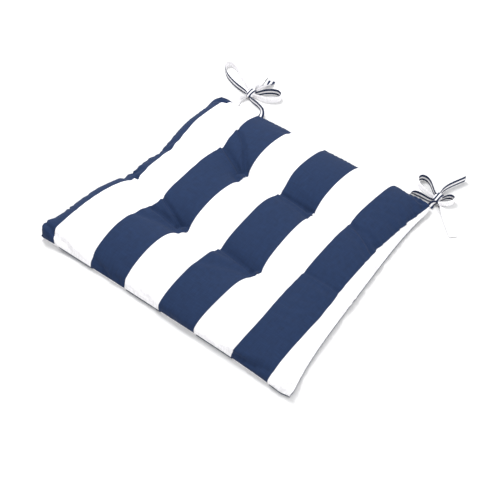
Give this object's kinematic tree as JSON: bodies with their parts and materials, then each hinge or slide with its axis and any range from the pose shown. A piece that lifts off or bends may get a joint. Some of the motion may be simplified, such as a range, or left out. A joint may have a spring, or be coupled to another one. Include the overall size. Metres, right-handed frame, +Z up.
{
  "type": "chair seat pad",
  "caption": "Square knife-edge chair seat pad with a tufted, fibre-filled striped canvas cover and tape ties at the back corners, tied in bows.",
  "frame": {"origin": "centre of the underside, on the seat face that the pad rests on", "axes": "+Z up, -Y towards the front edge, +X to the right seen from the front; the ties leave the back edge at +Y"},
  "size_m": [0.445, 0.441, 0.0374],
  "materials": {
    "striped_canvas": "matte plain-weave canvas in wide navy and white stripes",
    "striped_canvas_underside": "the same striped canvas",
    "polyester_fibre": "loose fibre wadding",
    "seam_thread": "twisted polyester thread",
    "tuft_thread": "doubled tufting thread",
    "tie_tape": "folded canvas tape, white with navy edges and a row of topstitch"
  },
  "bodies": {
    "root": {"cover_top": "striped_canvas", "cover_bottom": "striped_canvas_underside", "filling": "polyester_fibre", "edge_seam": "seam_thread", "closing_stitch": "seam_thread", "tuft_front_left": "tuft_thread", "tuft_front_right": "tuft_thread", "tuft_back_left": "tuft_thread", "tuft_back_right": "tuft_thread", "tie_left_outer": "tie_tape", "tie_left_inner": "tie_tape", "tie_right_outer": "tie_tape", "tie_right_inner": "tie_tape", "tie_bar_tacks": "seam_thread", "knot_left": "tie_tape", "knot_right": "tie_tape"}
  },
  "joints": []
}
